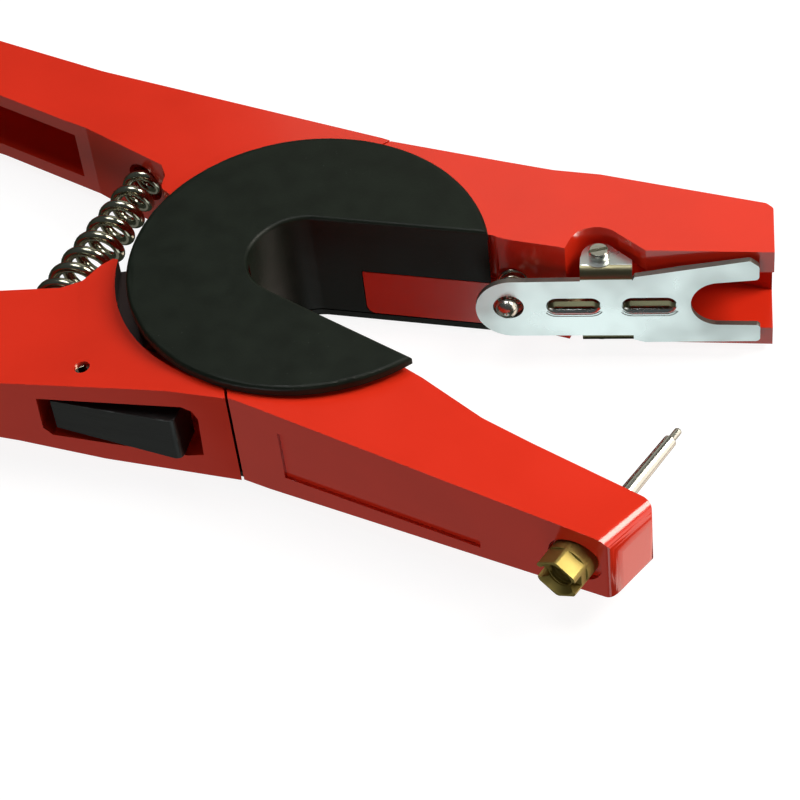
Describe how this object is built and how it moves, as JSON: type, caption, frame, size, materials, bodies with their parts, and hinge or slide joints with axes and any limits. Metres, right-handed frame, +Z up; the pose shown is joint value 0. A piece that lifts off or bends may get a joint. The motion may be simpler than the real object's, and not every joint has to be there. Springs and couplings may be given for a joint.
{
  "type": "ear tag applicator",
  "caption": "Hand pliers that push a livestock ear tag's stud through an ear: crossing levers under a C cover, a pin on one jaw and a sprung fork clip on the other",
  "frame": {"origin": "on the main pivot's axis, in the plane of the lower cover's flat underside, which the tool lies on", "axes": "+Z up along the main pivot, +X out to the jaws along the tool, +Y to the jaw that carries the clip"},
  "size_m": [0.2457, 0.1184, 0.028],
  "materials": {
    "red_paint": "gloss orange red enamel over an aluminium casting",
    "black_moulding": "satin black moulded plastic with a fine grain",
    "latch_plastic": "matt black moulded plastic",
    "zinc_steel": "zinc plated steel",
    "spring_steel": "polished spring wire",
    "polished_steel": "turned and polished stainless steel",
    "bright_sheet": "bright nickel plated sheet",
    "brass": "turned brass"
  },
  "bodies": {
    "clip_side": {"clip_lever": "red_paint", "cover_top": "black_moulding", "cover_bottom": "black_moulding", "cover_screws": "zinc_steel", "pivot_bolt": "zinc_steel", "pivot_nut": "zinc_steel", "pivot_washer": "zinc_steel", "thrust_washer": "brass", "return_spring": "spring_steel", "clip_screw": "polished_steel", "clip_nut": "zinc_steel", "guide_stud": "polished_steel", "clip_spring": "spring_steel", "latch_pin": "spring_steel", "latch_spring": "spring_steel"},
    "pin_side": {"pin_lever": "red_paint", "applicator_pin": "polished_steel", "pin_nut": "brass"},
    "clip": {"clip_plate": "bright_sheet"},
    "latch": {"latch_lever": "latch_plastic"}
  },
  "joints": [
    {"name": "main_pivot", "type": "hinge", "parent": "clip_side", "child": "pin_side", "pos_m": [0, 0, 0.014], "axis": [0, 0, 1], "range_deg": [0, 26], "stiffness_Nm_per_rad": 1.6, "springref_deg": -20.05, "deforming": ["return_spring"]},
    {"name": "clip_rock", "type": "hinge", "parent": "clip_side", "child": "clip", "pos_m": [0.07717, 0.02389, 0.0134], "axis": [0, 0, -1], "range_deg": [0, 10], "stiffness_Nm_per_rad": 0.4, "springref_deg": -17.19, "deforming": ["clip_spring"]},
    {"name": "latch_rock", "type": "hinge", "parent": "clip_side", "child": "latch", "pos_m": [-0.0061, -0.039, 0.014], "axis": [0, 0, 1], "range_deg": [0, 8], "stiffness_Nm_per_rad": 0.1, "springref_deg": -11.46, "deforming": ["latch_spring"]}
  ]
}
